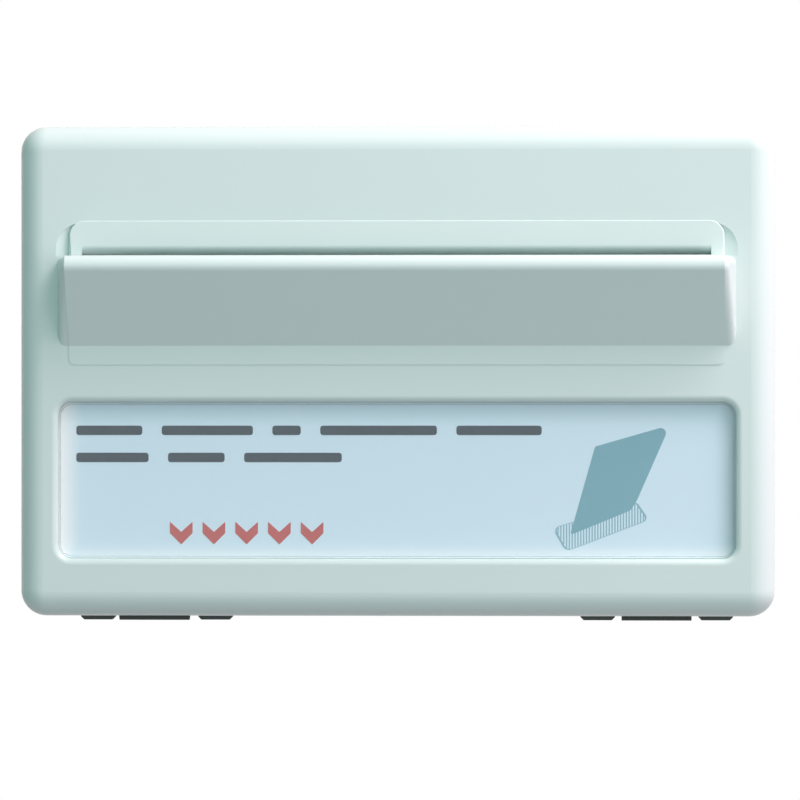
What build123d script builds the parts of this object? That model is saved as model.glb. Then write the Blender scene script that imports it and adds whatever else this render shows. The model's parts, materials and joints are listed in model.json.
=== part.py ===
from build123d import *
import os
from math import atan2, cos, degrees, radians

# Hotel key card switch for a three-gang wall box.
# The origin is midway between the two box screws, on the wall. +X is to the right seen from the
# front, +Y goes into the wall and +Z is up. A depth is a distance in front of the wall, towards -Y,
# and a reach is a distance behind it, towards +Y. All lengths are millimetres.

os.makedirs("parts", exist_ok=True)

# General clearances
overrun = 1.0
join = 0.5
slide_clearance = 0.05
seat_gap = 0.02
loose_gap = 0.3

# Cover plate
plate_margin = 6.0
plate_height = 78.0
plate_depth = 12.0
plate_corner = 4.2
plate_edge_round = 3.8
plate_draft = 1.0
shell_wall = 2.0
inner_edge_round = 1.4
wall_gap = 0.2
hinge_relief = 1.4

# Hood over the card slot
hood_end_wall = 4.2
hood_proud = 8.0
hood_foot_height = 4.0
hood_lip_height = 18.2
hood_front_height = 2.2
hood_lip_thickness = 3.0
hood_lip_round = 1.7
hood_shoulder_round = 1.5
hood_side_draft = 8.5
hood_side_round = 1.3
slot_play = 7.0

# Scooped mouth above the hood
scoop_height = 5.3
scoop_corner = 4.2
scoop_depth = 1.2
scoop_inset = 0.15
scoop_end_corner = 0.4
sill_round = 1.3
slot_recess = 3.0
slot_gap = 0.3
slot_wall_drop = 0.9

# Raised pad left by the mould insert
pad_inset = 2.1
pad_proud = 0.12
pad_head_proud = 0.12
pad_sill_proud = 0.55
pad_foot_height = 1.0
pad_corner = 1.0
pad_rise = 0.3
pad_head_corner = 2.4
pad_head_taper = 35.0

# Label recess
label_inset = 0.3
label_height = 24.8
label_middle_height = -17.3
label_corner = 2.2
label_recess = 2.3
label_floor = 1.0
label_rim = 1.3
label_edge_round = 1.0

# Label card and its clear window
label_card_thickness = 0.3
window_edge_width = 1.6
window_edge_depth = 0.6
window_gap = 0.1

# Card and the pocket that guides it
card_width = 85.6
card_play = 1.4
channel_thickness = 2.0
pocket_wall = 1.2
pocket_foot_height = -20.2
pocket_foot_depth = 4.3
pocket_head_gap = 1.2
pocket_ledge = 1.5
pocket_guide = 1.6
pocket_flare_start = 0.0
pocket_flare_end = 12.0
pocket_window_width = 12.0
pocket_window_top = 2.0
pocket_window_bottom = -17.0
pocket_ear_radius = 2.3
guide_rib_width = 1.2
guide_rib_spacing = 16.0
guide_rib_count = 5
guide_rib_foot_height = -16.0

# Screws that hold the pocket to the cover
pocket_screw_inset = 6.8
pocket_screw_heights = (10.0, -14.0)
pocket_screw_radius = 1.05
pocket_screw_length = 3.6
pocket_screw_head_radius = 2.0
pocket_screw_head_height = 1.3
pocket_boss_radius = 2.4

# Mounting frame
frame_thickness = 2.0
frame_side_gap = 0.8
frame_end_gap = 1.6
frame_corner = 3.0
frame_rib_width = 1.2
frame_rib_depth = 2.4
box_screw_spacing = 83.5
box_screw_slot_radius = 2.1
box_screw_slot_length = 8.0

# Top hooks that the cover swings on
hook_spacing = 60.0
hook_width = 11.4
hook_radius = 0.8
hook_clearance = 0.1
hook_depth = 1.8
hook_drop = 1.8
hook_neck_front = 0.75
hook_neck_back = 0.45
hook_root_height = 1.6

# Lower lugs and latch springs
lug_shift = 1.2
lug_group_inset = 20.05
lug_offset = 9.4
lug_width = 5.5
lug_depth = 2.4
lug_proud = 0.7
lug_chamfer = 0.5
latch_width = 11.1
latch_thickness = 0.5
latch_proud = 0.6
latch_bend = 0.9
latch_seat_rise = 13.0
latch_bridge = 1.5
latch_window_depth = 4.0
latch_stake_spacing = 6.0
latch_stake_rise = 9.0
latch_stake_radius = 1.2
latch_stake_head_radius = 1.9
latch_stake_head_height = 0.8
latch_stake_head_taper = 17.0

# Card lever
lever_pivot_depth = 4.2
lever_pivot_height = 14.0
lever_hub_radius = 2.0
lever_width = 9.0
lever_thickness = 1.3
lever_swing = 6.0
lever_nose_gap = 1.8
lever_nose_proud = 2.0
lever_nose_height = -10.0
lever_nose_length = 2.4
lever_foot_height = -14.4
lever_knee_height = -4.0
lever_nose_round = 0.8
lever_pad_radius = 1.2
lever_pad_offset = 0.5
pin_radius = 1.0
pin_clearance = 0.06
pin_ear_width = 1.5
pin_ear_inner = 7.5
pin_ear_radius = 2.0
lever_spring_wire = 0.4
lever_spring_radius = 1.75
lever_spring_pitch = 0.85
lever_spring_turns = 1.75
lever_spring_leg = 5.5
lever_spring_hook = 2.2
lever_spring_bend = 0.6
lever_spring_tilt = 14.0

# Switch plunger
plunger_height = 4.0
plunger_radius = 1.5
plunger_head_radius = 2.6
plunger_head_thickness = 0.8
plunger_head_gap = 0.1
plunger_clearance = 0.07
plunger_boss_radius = 4.0
plunger_spring_well_radius = 3.0
plunger_boss_reach = 2.0
plunger_well_floor = 1.0
plunger_end_round = 1.0
clip_thickness = 0.5
clip_radius = 2.4
clip_groove = 0.3
plunger_spring_wire = 0.4
plunger_spring_radius = 2.2
plunger_spring_turns = 3.6

# Switch case
case_side_margin = 2.0
case_top = 12.0
case_bottom = -24.0
case_reach = 24.0
case_wall = 1.6
case_front_depth = 1.5
case_corner = 1.5
case_opening_gap = 0.3
lid_thickness = 1.2
lid_rebate = 0.8
case_ear_inset = 6.0
case_ear_width = 8.0
case_ear_length = 7.0
case_ear_thickness = 1.2
case_screw_offset = 4.0
case_screw_radius = 1.25
case_screw_length = 3.0
case_screw_head_radius = 2.4
case_screw_head_height = 1.4

# Terminals
terminal_pitch = 12.0
terminal_count = 3
terminal_height = -16.0
busbar_width = 5.6
busbar_thickness = 1.0
busbar_reach = 13.0
busbar_foot_height = -20.5
wire_radius = 2.0
cage_width = 8.0
cage_height = 7.0
cage_wall = 1.1
cage_thread_wall = 1.6
wire_play = 0.1
cage_travel_turns = 4.0
terminal_screw_radius = 1.75
terminal_screw_pitch = 0.6
terminal_screw_head_radius = 3.0
terminal_screw_head_height = 1.2
driver_hole_radius = 2.5
shelf_height = -9.0
shelf_thickness = 1.4
partition_thickness = 1.2
screw_slot_width = 0.8
cross_share = 0.65
head_round_share = 0.35
screw_slot_depth = 0.6

# Contacts
blade_thickness = 0.4
blade_height = 6.0
blade_reach = 3.5
blade_root_offset = 2.0
contact_radius = 1.6
contact_head = 0.6
contact_shank_radius = 0.8
contact_gap = 0.06
arm_thickness = 1.0
arm_width = 6.0

quarter_turn = 90.0
half_turn = 180.0

# Sizes that follow from the ones above: the card sets the slot, the slot the hood, the hood the plate
slot_width = card_width + 2 * slot_play
hood_width = slot_width + 2 * hood_end_wall
pad_width = hood_width - 2 * pad_inset
label_width = hood_width - 2 * label_inset
plate_width = hood_width + 2 * plate_margin
inner_depth = plate_depth - shell_wall
plate_top = plate_height / 2
hood_front = plate_depth + hood_proud
hood_shoulder_height = hood_lip_height - hood_front_height
hood_slope = (hood_shoulder_height - hood_foot_height) / hood_proud
slot_top_height = hood_lip_height + slot_gap
scoop_top_height = hood_lip_height + scoop_height
scoop_floor_depth = plate_depth - scoop_depth
slot_back_depth = plate_depth - slot_recess
pad_head_height = scoop_top_height + pad_rise
lip_inner_depth = hood_front - hood_lip_thickness
label_seat_depth = plate_depth - label_recess
label_back_depth = label_seat_depth - label_floor
window_front_depth = plate_depth - label_edge_round
pocket_head_depth = inner_depth - pocket_head_gap
pocket_head_height = slot_top_height - slot_wall_drop - join / 2
pocket_slope = (pocket_head_depth - pocket_foot_depth) / (pocket_head_height - pocket_foot_height)
pocket_lean = degrees(atan2(pocket_slope, 1))
pocket_wall_run = pocket_wall / cos(radians(pocket_lean))
channel_run = channel_thickness / cos(radians(pocket_lean))
channel_width = card_width + card_play
pocket_screw_x = plate_width / 2 - pocket_screw_inset
frame_width = plate_width - 2 * (shell_wall + frame_side_gap)
frame_height = plate_height - 2 * (shell_wall + frame_end_gap)
frame_bottom = -frame_height / 2
hinge_height = plate_top - hook_drop
lug_group_spacing = plate_width - 2 * lug_group_inset
latch_seat_top = -plate_top + latch_seat_rise
latch_stake_height = -plate_top + latch_stake_rise
cage_travel = cage_travel_turns * terminal_screw_pitch
case_width = terminal_count * terminal_pitch + 2 * case_side_margin
case_ear_x = case_width / 2 - case_ear_inset
contact_x = terminal_pitch * (terminal_count - 1) / 2
blade_pivot_x = -contact_x - blade_root_offset
plunger_arm = lever_pivot_height - plunger_height
plunger_travel = plunger_arm * radians(lever_swing)
blade_arm = -blade_pivot_x
blade_swing = plunger_travel / blade_arm
lever_pad_depth = lever_pivot_depth + lever_pad_offset
lever_nose_depth = label_back_depth - lever_nose_gap
lever_foot_depth = lever_nose_depth - lever_nose_proud
plunger_end_reach = blade_reach - plunger_head_gap
clip_reach = plunger_boss_reach + plunger_head_gap
lid_back_depth = case_front_depth - lid_thickness
lug_groups = (lug_shift - lug_group_spacing / 2, lug_shift + lug_group_spacing / 2)
latch_bridge_front = lug_depth + loose_gap + latch_bridge
case_inner_width = case_width - 2 * case_wall
case_inner_bottom = case_bottom + case_wall
case_inner_top = case_top - case_wall
case_inner_reach = case_reach - case_wall
case_middle = (case_top + case_bottom) / 2
shelf_bottom = shelf_height - shelf_thickness
wire_reach = busbar_reach - wire_radius - wire_play
cage_front_reach = wire_reach - wire_radius - wire_play - cage_wall
terminal_head_reach = case_inner_reach - terminal_screw_head_height - plunger_head_gap
terminal_tip_reach = busbar_reach + busbar_thickness + seat_gap
cage_back_reach = terminal_head_reach - cage_travel - join
moving_face_reach = blade_reach + blade_thickness + contact_head
contact_sweep = (contact_x - blade_pivot_x + contact_radius) * blade_swing
open_face_reach = moving_face_reach + contact_sweep + contact_gap
closed_face_reach = blade_reach - contact_head - contact_gap
first_terminal_x = -terminal_pitch * (terminal_count - 1) / 2
terminal_places = [first_terminal_x + terminal_pitch * index for index in range(terminal_count)]


def side_view(points):
    """Turn (depth, height) pairs into points of the plane seen from the side."""
    return [(-depth, height) for depth, height in points]


def pocket_depth_at(height):
    """Depth of the pocket's guiding face at a height: it leans outwards towards the mouth."""
    return pocket_foot_depth + (height - pocket_foot_height) * pocket_slope


def cover_floor_at(height):
    """Depth of the cover's inside floor: it stands further back behind the label."""
    if abs(height - label_middle_height) < label_height / 2 + label_rim:
        return label_back_depth
    return inner_depth


def prism_along_x(points, width):
    """Closed side-view outline carried half the width to each side."""
    with BuildPart() as prism:
        with BuildSketch(Plane.YZ):
            with BuildLine():
                Polyline(*side_view(points), close=True)
            make_face()
        extrude(amount=width / 2, both=True)
    return prism.part


def pan_screw(radius, length, head_radius, head_height, slot_width, slot_depth):
    """Cross-slot screw on the Y axis, its head's seat at the origin and its shank towards -Y."""
    with BuildPart() as screw:
        with BuildSketch(Plane.XZ):
            Circle(radius)
        extrude(amount=length)
        with BuildSketch(Plane.XZ):
            Circle(head_radius)
        extrude(amount=-head_height)
        fillet(screw.faces().sort_by(Axis.Y)[-1].edges(), head_height * head_round_share)
        with BuildSketch(Plane.XZ.offset(-head_height)):
            Rectangle(2 * head_radius * cross_share, slot_width)
            Rectangle(slot_width, 2 * head_radius * cross_share)
        extrude(amount=slot_depth, mode=Mode.SUBTRACT)
    return screw.part


# Hood form: a wedge with a rounded lip
def hood_form(width, proud):
    """Solid hood, its front moved out by proud and its back inside the cover's wall."""
    back = inner_depth + join
    foot_height = hood_foot_height - (plate_depth + proud - back) * hood_slope
    front = hood_front + proud
    with BuildPart() as form:
        with BuildSketch(Plane.YZ) as profile:
            with BuildLine():
                Polyline(
                    *side_view(
                        [
                            (back, foot_height),
                            (front, hood_shoulder_height),
                            (front, hood_lip_height),
                            (back, hood_lip_height),
                        ]
                    ),
                    close=True,
                )
            make_face()
            fillet(profile.vertices().group_by(Axis.X)[0].sort_by(Axis.Y)[0], hood_shoulder_round)
            fillet(profile.vertices().group_by(Axis.X)[0].sort_by(Axis.Y)[-1], hood_lip_round)
        extrude(amount=width / 2, both=True)
    return form.part


# Hood with drafted and rounded sides
with BuildPart() as hood:
    add(hood_form(hood_width, 0))
    with BuildSketch(Plane.XZ.offset(inner_depth)):
        Rectangle(hood_width, plate_height)
    extrude(amount=hood_proud + shell_wall + overrun, taper=hood_side_draft, mode=Mode.INTERSECT)
    for side_faces in (hood.faces().sort_by(Axis.X)[0], hood.faces().sort_by(Axis.X)[-1]):
        fillet(
            side_faces.edges().filter_by(lambda edge: edge.center().Y < -plate_depth),
            hood_side_round,
        )

# Hollow behind the cover's face
with BuildPart() as cover_hollow:
    with BuildSketch(Plane.XZ.offset(-overrun)):
        RectangleRounded(
            plate_width - 2 * shell_wall, plate_height - 2 * shell_wall, plate_corner - shell_wall
        )
    extrude(amount=inner_depth + overrun, taper=plate_draft)
    fillet(cover_hollow.faces().sort_by(Axis.Y)[0].edges(), inner_edge_round)

# Shallow scoop, of which the ends show beside the pad's head
with BuildPart() as scoop:
    with BuildSketch(Plane.XZ.offset(scoop_floor_depth)) as scoop_end:
        with Locations((0, hood_lip_height)):
            Rectangle(
                slot_width,
                scoop_top_height - scoop_inset - hood_lip_height,
                align=(Align.CENTER, Align.MIN),
            )
        fillet(scoop_end.vertices().group_by(Axis.Y)[-1], scoop_end_corner)
    with BuildSketch(Plane.XZ.offset(plate_depth)) as scoop_start:
        with Locations((0, hood_lip_height)):
            Rectangle(hood_width, scoop_top_height - hood_lip_height, align=(Align.CENTER, Align.MIN))
        fillet(scoop_start.vertices().group_by(Axis.Y)[-1], scoop_corner)
    loft(ruled=True)
    extrude(scoop_start.sketch, amount=overrun)

# Outline of the pad's head, above the slot
with BuildSketch(Plane.XZ) as pad_outline:
    with Locations((0, pad_head_height)):
        Rectangle(
            pad_width,
            pad_head_height - hood_lip_height + pad_sill_proud,
            align=(Align.CENTER, Align.MAX),
        )
    fillet(pad_outline.vertices().group_by(Axis.Y)[-1], pad_head_corner)

with BuildPart() as scoop_beside_pad:
    add(scoop.part)
    extrude(pad_outline.sketch, amount=plate_depth + 2 * overrun, mode=Mode.SUBTRACT)

# Mouth: the space in front of the pad's head, which rolls over into the card slot
with BuildPart() as mouth:
    with BuildSketch(Plane.YZ) as mouth_side:
        with BuildLine():
            Polyline(
                *side_view(
                    [
                        (hood_front, hood_lip_height),
                        (hood_front, pad_head_height),
                        (plate_depth + pad_head_proud, pad_head_height),
                        (plate_depth + pad_sill_proud, slot_top_height),
                        (slot_back_depth, slot_top_height),
                        (slot_back_depth, hood_lip_height),
                    ]
                ),
                close=True,
            )
        make_face()
        fillet(mouth_side.vertices().group_by(Axis.Y)[1].sort_by(Axis.X)[0], sill_round)
    extrude(amount=slot_width / 2, both=True)


def slot_front_height(depth):
    """Height of the hood's inner slope at a depth: one wall above the outer slope."""
    outer_height = hood_foot_height + (depth - plate_depth) * hood_slope
    return outer_height + shell_wall / cos(atan2(hood_slope, 1))


# Slot behind the hood, open upwards
slot_space = prism_along_x(
    [
        (slot_back_depth, slot_top_height),
        (lip_inner_depth, slot_top_height),
        (lip_inner_depth, slot_front_height(lip_inner_depth)),
        (inner_depth, slot_front_height(inner_depth)),
        (slot_back_depth, slot_front_height(inner_depth)),
    ],
    slot_width,
)

# Head of the pad: chamfered along its outline, its face leaning forwards towards the slot
with BuildPart() as pad_head:
    extrude(Pos(0, join - plate_depth, 0) * pad_outline.sketch, amount=join)
    extrude(Pos(0, -plate_depth, 0) * pad_outline.sketch, amount=pad_sill_proud, taper=pad_head_taper)
    add(
        prism_along_x(
            [
                (plate_depth - join, pad_head_height),
                (plate_depth + pad_head_proud, pad_head_height),
                (plate_depth + pad_sill_proud, slot_top_height),
                (plate_depth + pad_sill_proud, hood_shoulder_height),
                (plate_depth - join, hood_shoulder_height),
            ],
            pad_width,
        ),
        mode=Mode.INTERSECT,
    )
    add(slot_space, mode=Mode.SUBTRACT)

# Wall behind the scoop, inside the cover
scoop_backing = prism_along_x(
    [
        (inner_depth + join, scoop_top_height + shell_wall),
        (slot_back_depth - shell_wall, slot_top_height + slot_gap),
        (slot_back_depth - shell_wall, slot_top_height - slot_wall_drop),
        (inner_depth + join, slot_top_height - slot_wall_drop),
    ],
    hood_width + 2 * join,
)

# Rib inside the cover that keeps a card in the channel
guide_rib_top = label_middle_height + label_height / 2 + label_rim
guide_rib = prism_along_x(
    [
        (pocket_depth_at(guide_rib_top) + channel_run, guide_rib_top),
        (label_back_depth + join, guide_rib_top),
        (label_back_depth + join, guide_rib_foot_height),
        (pocket_depth_at(guide_rib_foot_height) + channel_run, guide_rib_foot_height),
    ],
    guide_rib_width,
)

# Cover
with BuildPart() as front_cover:
    with BuildSketch(Plane.XZ.offset(wall_gap)):
        RectangleRounded(plate_width, plate_height, plate_corner)
    extrude(amount=plate_depth - wall_gap, taper=plate_draft)
    fillet(front_cover.faces().sort_by(Axis.Y)[0].edges(), plate_edge_round)
    add(cover_hollow.part, mode=Mode.SUBTRACT)
    add(scoop_backing)
    with BuildSketch(Plane.XZ.offset(label_back_depth)):
        with Locations((0, label_middle_height)):
            RectangleRounded(
                label_width + 2 * label_rim, label_height + 2 * label_rim, label_corner + label_rim
            )
    extrude(amount=inner_depth + join - label_back_depth)
    # Foot of the pad, below the hood
    with BuildSketch(Plane.XZ.offset(plate_depth - join)) as pad_foot:
        with Locations((0, pad_foot_height)):
            Rectangle(
                pad_width, hood_foot_height - pad_foot_height + join, align=(Align.CENTER, Align.MIN)
            )
        fillet(pad_foot.vertices().group_by(Axis.Y)[0], pad_corner)
    extrude(amount=join + pad_proud)
    add(hood.part)
    add(hood_form(pad_width, pad_proud))
    add(scoop_beside_pad.part, mode=Mode.SUBTRACT)
    add(pad_head.part)
    add(mouth.part, mode=Mode.SUBTRACT)
    add(slot_space, mode=Mode.SUBTRACT)
    # Label recess
    with BuildSketch(Plane.XZ.offset(label_seat_depth)):
        with Locations((0, label_middle_height)):
            RectangleRounded(label_width, label_height, label_corner)
    extrude(amount=plate_depth + overrun - label_seat_depth, mode=Mode.SUBTRACT)
    fillet(
        front_cover.edges()
        .filter_by(lambda edge: abs(edge.center().Y + plate_depth) < seat_gap)
        .filter_by(lambda edge: abs(edge.center().Z - label_middle_height) < (label_height + label_rim) / 2)
        .filter_by(lambda edge: abs(edge.center().X) < (label_width + label_rim) / 2),
        label_edge_round,
    )
    for index in range(guide_rib_count):
        add(Pos(guide_rib_spacing * (index - (guide_rib_count - 1) / 2), 0, 0) * guide_rib)
    # Bosses for the pocket's screws
    for height in pocket_screw_heights:
        seat_depth = pocket_depth_at(height)
        with BuildSketch(Plane.XZ.offset(seat_depth)):
            with Locations((-pocket_screw_x, height), (pocket_screw_x, height)):
                Circle(pocket_boss_radius)
        extrude(amount=cover_floor_at(height) + join - seat_depth)
        with BuildSketch(Plane.XZ.offset(seat_depth)):
            with Locations((-pocket_screw_x, height), (pocket_screw_x, height)):
                Circle(pocket_screw_radius + seat_gap)
        extrude(amount=pocket_screw_length - pocket_wall + loose_gap, mode=Mode.SUBTRACT)
    # Grooves that turn on the frame's top hooks
    for side in (-1, 1):
        with BuildSketch(Plane.YZ.offset(side * hook_spacing / 2)):
            with Locations((-hook_depth, hinge_height)):
                Circle(hook_radius + hook_clearance)
        extrude(amount=hook_width / 2 + loose_gap, both=True, mode=Mode.SUBTRACT)
    # The top back edge is bevelled so that it clears the wall as the cover swings
    bevel = hinge_relief + overrun
    add(
        prism_along_x(
            [
                (wall_gap - overrun, plate_top - bevel),
                (wall_gap + bevel, plate_top + overrun),
                (wall_gap - overrun, plate_top + overrun),
            ],
            plate_width + overrun,
        ),
        mode=Mode.SUBTRACT,
    )
    # Open notches for the lugs and closed windows for the latch springs
    for group_x in lug_groups:
        with BuildSketch(Plane.XZ.offset(-overrun)):
            with Locations((group_x, -plate_top)):
                Rectangle(2 * (lug_offset + loose_gap) + lug_width, 2 * (shell_wall + loose_gap))
        extrude(amount=lug_depth + loose_gap + overrun, mode=Mode.SUBTRACT)
        with BuildSketch(Plane.XZ.offset(latch_bridge_front)):
            with Locations((group_x, -plate_top)):
                Rectangle(latch_width + 2 * loose_gap, 2 * (shell_wall + loose_gap))
        extrude(amount=latch_window_depth, mode=Mode.SUBTRACT)

front_cover.part.label = "front_cover"
export_step(front_cover.part, "parts/front_cover.step")

# Clear window: a plate with a dished front
with BuildPart() as label_window:
    with BuildSketch(Plane.XZ.offset(label_seat_depth + label_card_thickness)):
        with Locations((0, label_middle_height)):
            RectangleRounded(
                label_width - 2 * window_gap, label_height - 2 * window_gap, label_corner - window_gap
            )
    extrude(amount=window_front_depth - label_seat_depth - label_card_thickness)
    with BuildSketch(Plane.XZ.offset(window_front_depth - window_edge_depth)):
        with Locations((0, label_middle_height)):
            RectangleRounded(
                label_width - 2 * window_edge_width,
                label_height - 2 * window_edge_width,
                label_corner - window_edge_width,
            )
    with BuildSketch(Plane.XZ.offset(window_front_depth)):
        with Locations((0, label_middle_height)):
            RectangleRounded(
                label_width - 4 * window_gap, label_height - 4 * window_gap, label_corner - 2 * window_gap
            )
    loft(ruled=True, mode=Mode.SUBTRACT)

label_window.part.label = "label_window"
export_step(label_window.part, "parts/label_window.step")

# Printed label card
with BuildPart() as label_card:
    with BuildSketch(Plane.XZ.offset(label_seat_depth)):
        with Locations((0, label_middle_height)):
            RectangleRounded(
                label_width - 4 * window_gap, label_height - 4 * window_gap, label_corner - 2 * window_gap
            )
    extrude(amount=label_card_thickness)

label_card.part.label = "label_card"
export_step(label_card.part, "parts/label_card.step")

# Card pocket: a leaning back wall with a ledge and side guides that flare towards the mouth
pocket_bottom = pocket_foot_height - pocket_ledge
guide_limit_depth = inner_depth - loose_gap
guide_limit_run = guide_limit_depth - channel_run - pocket_foot_depth
guide_limit_height = pocket_foot_height + guide_limit_run / pocket_slope
channel_half = channel_width / 2
mouth_half = slot_width / 2


def pocket_outline(margin, foot_height, head_height):
    """Front outline of the pocket, margin outside the card's channel."""
    return [
        (-channel_half - margin, foot_height),
        (-channel_half - margin, pocket_flare_start),
        (-mouth_half - margin, pocket_flare_end),
        (-mouth_half - margin, head_height),
        (mouth_half + margin, head_height),
        (mouth_half + margin, pocket_flare_end),
        (channel_half + margin, pocket_flare_start),
        (channel_half + margin, foot_height),
    ]


with BuildPart() as card_channel:
    add(
        prism_along_x(
            [
                (pocket_foot_depth, pocket_foot_height),
                (plate_depth, pocket_foot_height),
                (plate_depth, pocket_head_height + overrun),
                (pocket_depth_at(pocket_head_height + overrun), pocket_head_height + overrun),
            ],
            plate_width,
        )
    )
    with BuildSketch(Plane.XZ):
        with BuildLine():
            Polyline(*pocket_outline(0, pocket_foot_height, pocket_head_height + overrun), close=True)
        make_face()
    extrude(amount=plate_depth, mode=Mode.INTERSECT)

with BuildPart() as card_pocket:
    add(
        prism_along_x(
            [
                (pocket_depth_at(pocket_bottom) - pocket_wall_run, pocket_bottom),
                (pocket_depth_at(pocket_bottom) + channel_run, pocket_bottom),
                (guide_limit_depth, guide_limit_height),
                (guide_limit_depth, pocket_head_height),
                (pocket_head_depth - pocket_wall_run, pocket_head_height),
            ],
            plate_width,
        )
    )
    with BuildSketch(Plane.XZ):
        with BuildLine():
            Polyline(*pocket_outline(pocket_guide, pocket_bottom, pocket_head_height), close=True)
        make_face()
    extrude(amount=plate_depth, mode=Mode.INTERSECT)
    # Ears for the screws
    ear_length = pocket_screw_x - channel_half - pocket_guide / 2
    for height in pocket_screw_heights:
        with BuildSketch(Plane.XZ.offset(pocket_depth_at(height) - pocket_wall)):
            with Locations((-pocket_screw_x, height), (pocket_screw_x, height)):
                Circle(pocket_ear_radius)
            with Locations((-pocket_screw_x, height)):
                Rectangle(ear_length, 2 * pocket_ear_radius, align=(Align.MIN, Align.CENTER))
            with Locations((pocket_screw_x, height)):
                Rectangle(ear_length, 2 * pocket_ear_radius, align=(Align.MAX, Align.CENTER))
            with Locations((-pocket_screw_x, height), (pocket_screw_x, height)):
                Circle(pocket_screw_radius + loose_gap, mode=Mode.SUBTRACT)
        extrude(amount=pocket_wall)
    add(card_channel.part, mode=Mode.SUBTRACT)
    # Window for the lever's nose
    with BuildSketch(Plane.XZ):
        with Locations((0, (pocket_window_top + pocket_window_bottom) / 2)):
            Rectangle(pocket_window_width, pocket_window_top - pocket_window_bottom)
    extrude(amount=plate_depth, mode=Mode.SUBTRACT)

card_pocket.part.label = "card_pocket"
export_step(card_pocket.part, "parts/card_pocket.step")

# Four screws that hold the pocket
pocket_screw = pan_screw(
    pocket_screw_radius,
    pocket_screw_length,
    pocket_screw_head_radius,
    pocket_screw_head_height,
    screw_slot_width,
    screw_slot_depth,
)
with BuildPart() as pocket_screws:
    for height in pocket_screw_heights:
        seat_depth = pocket_depth_at(height) - pocket_wall
        add(Pos(-pocket_screw_x, -seat_depth, height) * pocket_screw)
        add(Pos(pocket_screw_x, -seat_depth, height) * pocket_screw)

pocket_screws.part.label = "pocket_screws"
export_step(pocket_screws.part, "parts/pocket_screws.step")


# Mounting frame
opening_height = case_top - case_bottom + 2 * case_opening_gap
case_screw_places = [
    (side * case_ear_x, height)
    for side in (-1, 1)
    for height in (case_top + case_screw_offset, case_bottom - case_screw_offset)
]
stake_places = [
    (group_x + side * latch_stake_spacing / 2, latch_stake_height)
    for group_x in lug_groups
    for side in (-1, 1)
]
with BuildPart() as mounting_frame:
    with BuildSketch(Plane.XZ):
        RectangleRounded(frame_width, frame_height, frame_corner)
        with Locations((0, case_middle)):
            Rectangle(case_width + 2 * case_opening_gap, opening_height, mode=Mode.SUBTRACT)
        with Locations((-box_screw_spacing / 2, 0), (box_screw_spacing / 2, 0)):
            SlotOverall(box_screw_slot_length, 2 * box_screw_slot_radius, mode=Mode.SUBTRACT)
        with Locations(*case_screw_places):
            Circle(case_screw_radius + seat_gap, mode=Mode.SUBTRACT)
    extrude(amount=frame_thickness)
    # Stiffening rib round the top and the sides
    with BuildSketch(Plane.XZ.offset(frame_thickness)):
        RectangleRounded(frame_width, frame_height, frame_corner)
        RectangleRounded(
            frame_width - 2 * frame_rib_width,
            frame_height - 2 * frame_rib_width,
            frame_corner - frame_rib_width,
            mode=Mode.SUBTRACT,
        )
        with Locations((0, -frame_height / 2)):
            Rectangle(frame_width, 2 * frame_corner, mode=Mode.SUBTRACT)
    extrude(amount=frame_rib_depth)
    # Hooks that the cover hangs and swings on
    for side in (-1, 1):
        with BuildSketch(Plane.YZ.offset(side * hook_spacing / 2)):
            with Locations((-hook_depth, hinge_height)):
                Circle(hook_radius)
            with BuildLine():
                Polyline(
                    *side_view(
                        [
                            (hook_depth - hook_neck_back, frame_height / 2 - hook_root_height),
                            (hook_depth + hook_neck_front, frame_height / 2 - hook_root_height),
                            (hook_depth + hook_neck_front, hinge_height),
                            (hook_depth - hook_neck_back, hinge_height),
                        ]
                    ),
                    close=True,
                )
            make_face()
        extrude(amount=hook_width / 2, both=True)
    # Lugs that show below the cover
    for group_x in lug_groups:
        with BuildSketch(Plane.XZ) as lugs:
            with Locations(*[(group_x + side * lug_offset, frame_bottom + join) for side in (-1, 1)]):
                Rectangle(
                    lug_width, frame_bottom + join + plate_top + lug_proud, align=(Align.CENTER, Align.MAX)
                )
            chamfer(lugs.vertices().group_by(Axis.Y)[0], lug_chamfer)
        extrude(amount=lug_depth)
    # Stakes that hold the latch springs
    with BuildSketch(Plane.XZ.offset(frame_thickness)):
        with Locations(*stake_places):
            Circle(latch_stake_radius)
    extrude(amount=latch_thickness + 2 * seat_gap)
    with BuildSketch(Plane.XZ.offset(frame_thickness + latch_thickness + 2 * seat_gap)):
        with Locations(*stake_places):
            Circle(latch_stake_head_radius)
    extrude(amount=latch_stake_head_height, taper=latch_stake_head_taper)
    # Ears for the lever's pin
    ear_foot_height = case_top + case_opening_gap
    for ear_x in (-pin_ear_inner - pin_ear_width, pin_ear_inner):
        with BuildSketch(Plane.YZ.offset(ear_x)):
            with Locations((-lever_pivot_depth, lever_pivot_height)):
                Circle(pin_ear_radius)
            with BuildLine():
                Polyline(
                    *side_view(
                        [
                            (frame_thickness - join, ear_foot_height),
                            (lever_pivot_depth, lever_pivot_height - pin_ear_radius),
                            (lever_pivot_depth, lever_pivot_height + pin_ear_radius),
                            (frame_thickness - join, lever_pivot_height + 2 * pin_ear_radius),
                        ]
                    ),
                    close=True,
                )
            make_face()
            with Locations((-lever_pivot_depth, lever_pivot_height)):
                Circle(pin_radius + seat_gap, mode=Mode.SUBTRACT)
        extrude(amount=pin_ear_width)

mounting_frame.part.label = "mounting_frame"
export_step(mounting_frame.part, "parts/mounting_frame.step")


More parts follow.
